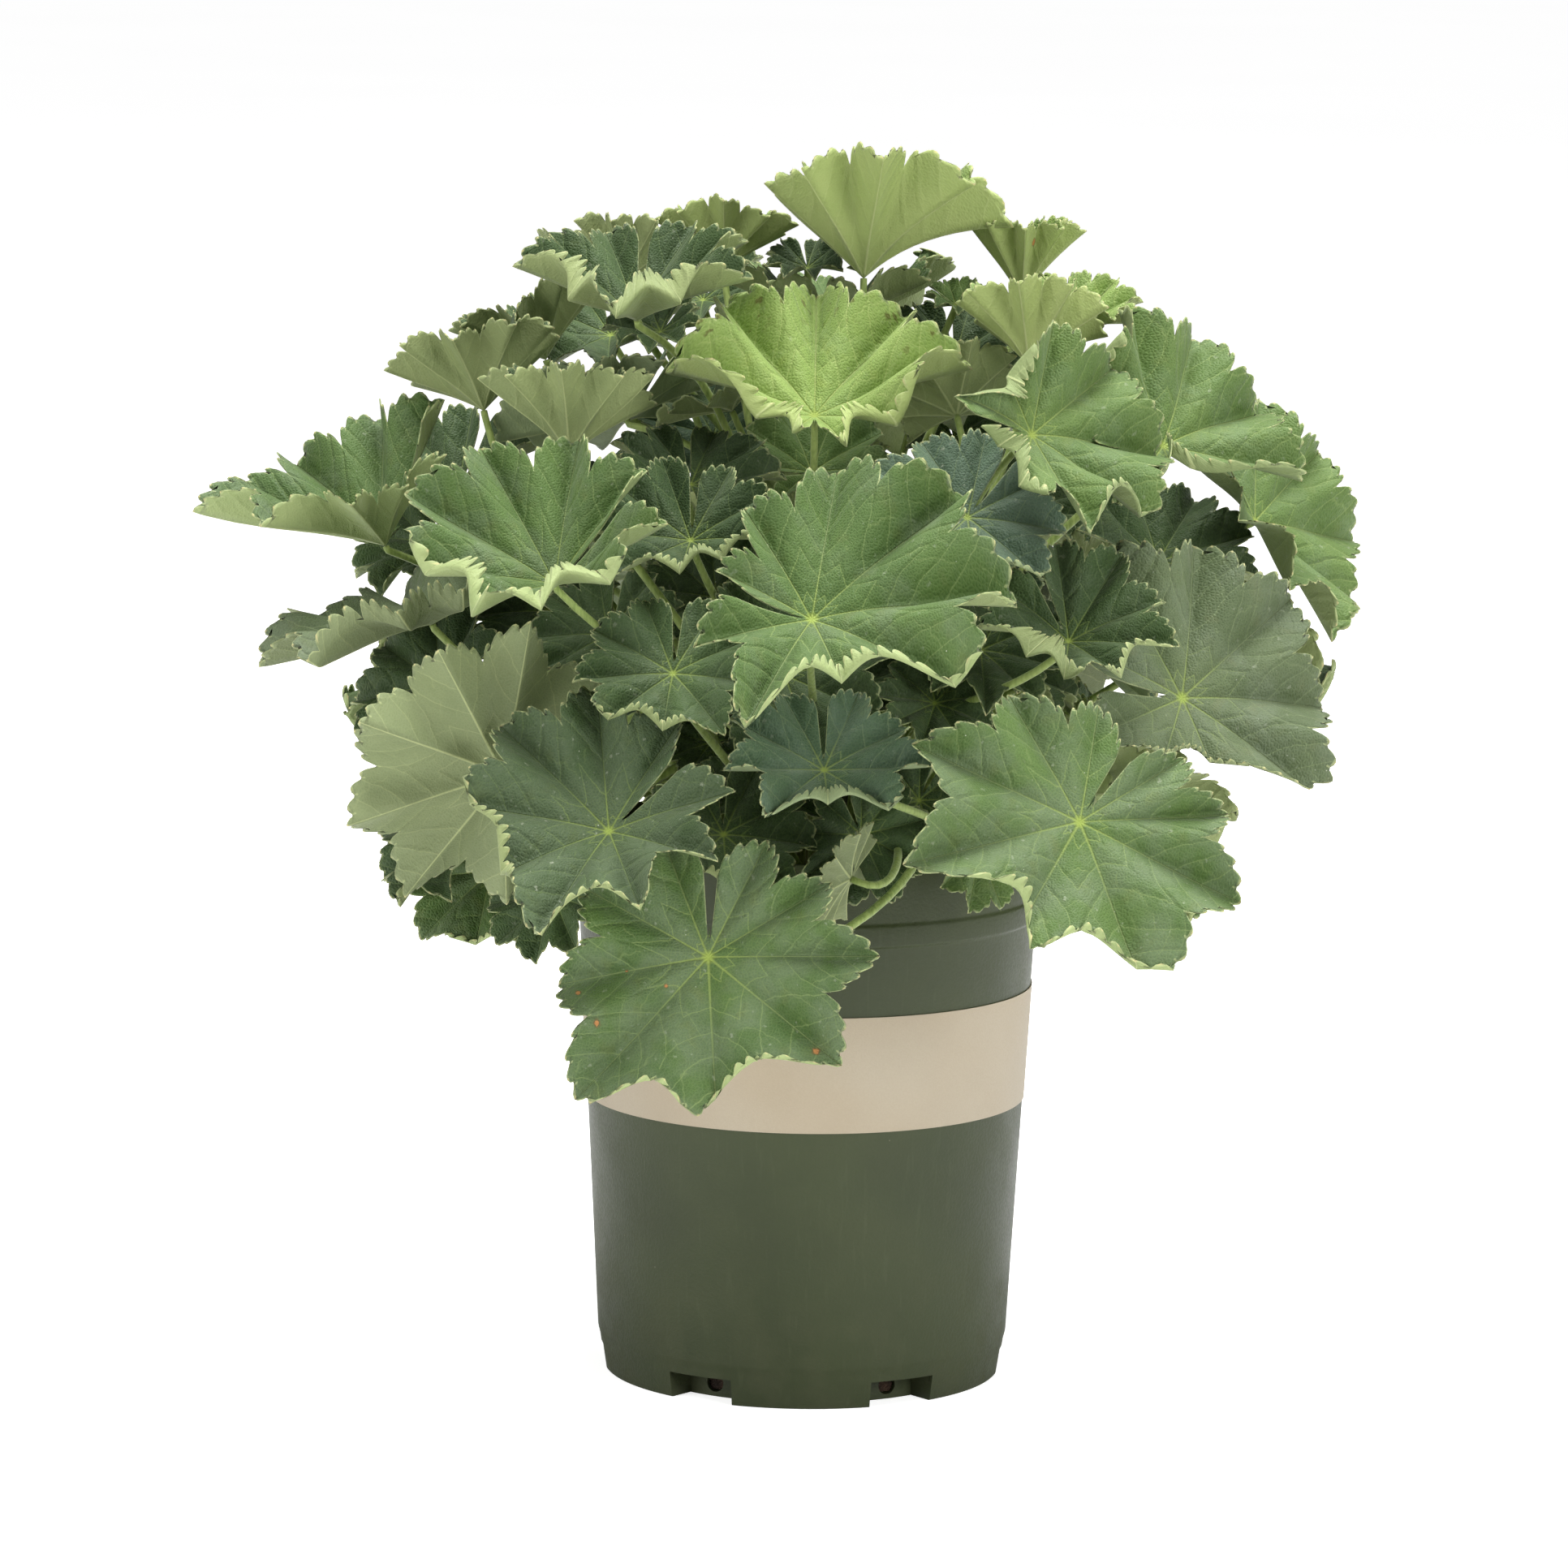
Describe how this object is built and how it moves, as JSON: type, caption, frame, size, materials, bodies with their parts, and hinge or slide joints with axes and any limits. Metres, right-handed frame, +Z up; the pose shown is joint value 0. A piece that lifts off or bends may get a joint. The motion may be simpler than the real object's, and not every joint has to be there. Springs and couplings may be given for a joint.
{
  "type": "potted lady's mantle plant",
  "caption": "Potted lady's mantle: a mound of pleated, scalloped leaves on slender stalks, standing in soil in a round nursery pot with a plain band.",
  "frame": {"origin": "centre of the pot's flat underside, on the surface it stands on", "axes": "+Z up along the pot's axis; -Y is the front, the side the picture shows; +X is the viewer's right"},
  "size_m": [0.4181, 0.3876, 0.4484],
  "materials": {
    "pot_plastic": "satin olive, faint flow marks",
    "band_print": "matte warm beige, bare",
    "potting_mix": "dark crumbly bark and peat",
    "leaf_young": "soft velvety leaf, finely hairy",
    "leaf_bright": "soft velvety leaf, finely hairy",
    "leaf_green": "soft velvety leaf, finely hairy",
    "leaf_dark": "soft velvety leaf, finely hairy",
    "leaf_blue": "soft velvety leaf, finely hairy",
    "leaf_dusty": "soft velvety leaf, finely hairy"
  },
  "bodies": {
    "root": {"label_band": "band_print", "leaf_back_11": "leaf_green", "leaf_back_12": "leaf_dark", "leaf_back_13": "leaf_dusty", "leaf_back_14": "leaf_green", "leaf_back_15": "leaf_blue", "leaf_back_21": "leaf_dark", "leaf_back_22": "leaf_dusty", "leaf_back_23": "leaf_green", "leaf_back_24": "leaf_blue", "leaf_back_25": "leaf_green", "leaf_back_31": "leaf_dusty", "leaf_back_32": "leaf_green", "leaf_back_33": "leaf_blue", "leaf_back_41": "leaf_green", "leaf_centre_1": "leaf_green", "leaf_centre_10": "leaf_dark", "leaf_centre_2": "leaf_blue", "leaf_centre_3": "leaf_dark", "leaf_centre_4": "leaf_dark", "leaf_centre_5": "leaf_dark", "leaf_centre_7": "leaf_dark", "leaf_centre_9": "leaf_dusty", "leaf_left_1": "leaf_green", "leaf_left_10": "leaf_green", "leaf_left_11": "leaf_dark", "leaf_left_12": "leaf_dark", "leaf_left_13": "leaf_dark", "leaf_left_14": "leaf_dark", "leaf_left_16": "leaf_dark", "leaf_left_2": "leaf_dusty", "leaf_left_3": "leaf_green", "leaf_left_4": "leaf_dusty", "leaf_left_5": "leaf_dark", "leaf_left_6": "leaf_dark", "leaf_left_7": "leaf_green", "leaf_left_8": "leaf_dark", "leaf_left_9": "leaf_dark", "leaf_right_1": "leaf_bright", "leaf_right_10": "leaf_green", "leaf_right_2": "leaf_bright", "leaf_right_3": "leaf_bright", "leaf_right_4": "leaf_dark", "leaf_right_5": "leaf_dusty", "leaf_right_6": "leaf_dark", "leaf_right_7": "leaf_dark", "leaf_right_8": "leaf_blue", "leaf_top_1": "leaf_young", "leaf_top_10": "leaf_dark", "leaf_top_11": "leaf_dark", "leaf_top_12": "leaf_young", "leaf_top_2": "leaf_young", "leaf_top_3": "leaf_young", "leaf_top_4": "leaf_young", "leaf_top_5": "leaf_dark", "leaf_top_6": "leaf_young", "leaf_top_7": "leaf_dark", "pot": "pot_plastic", "soil": "potting_mix"}
  },
  "joints": []
}
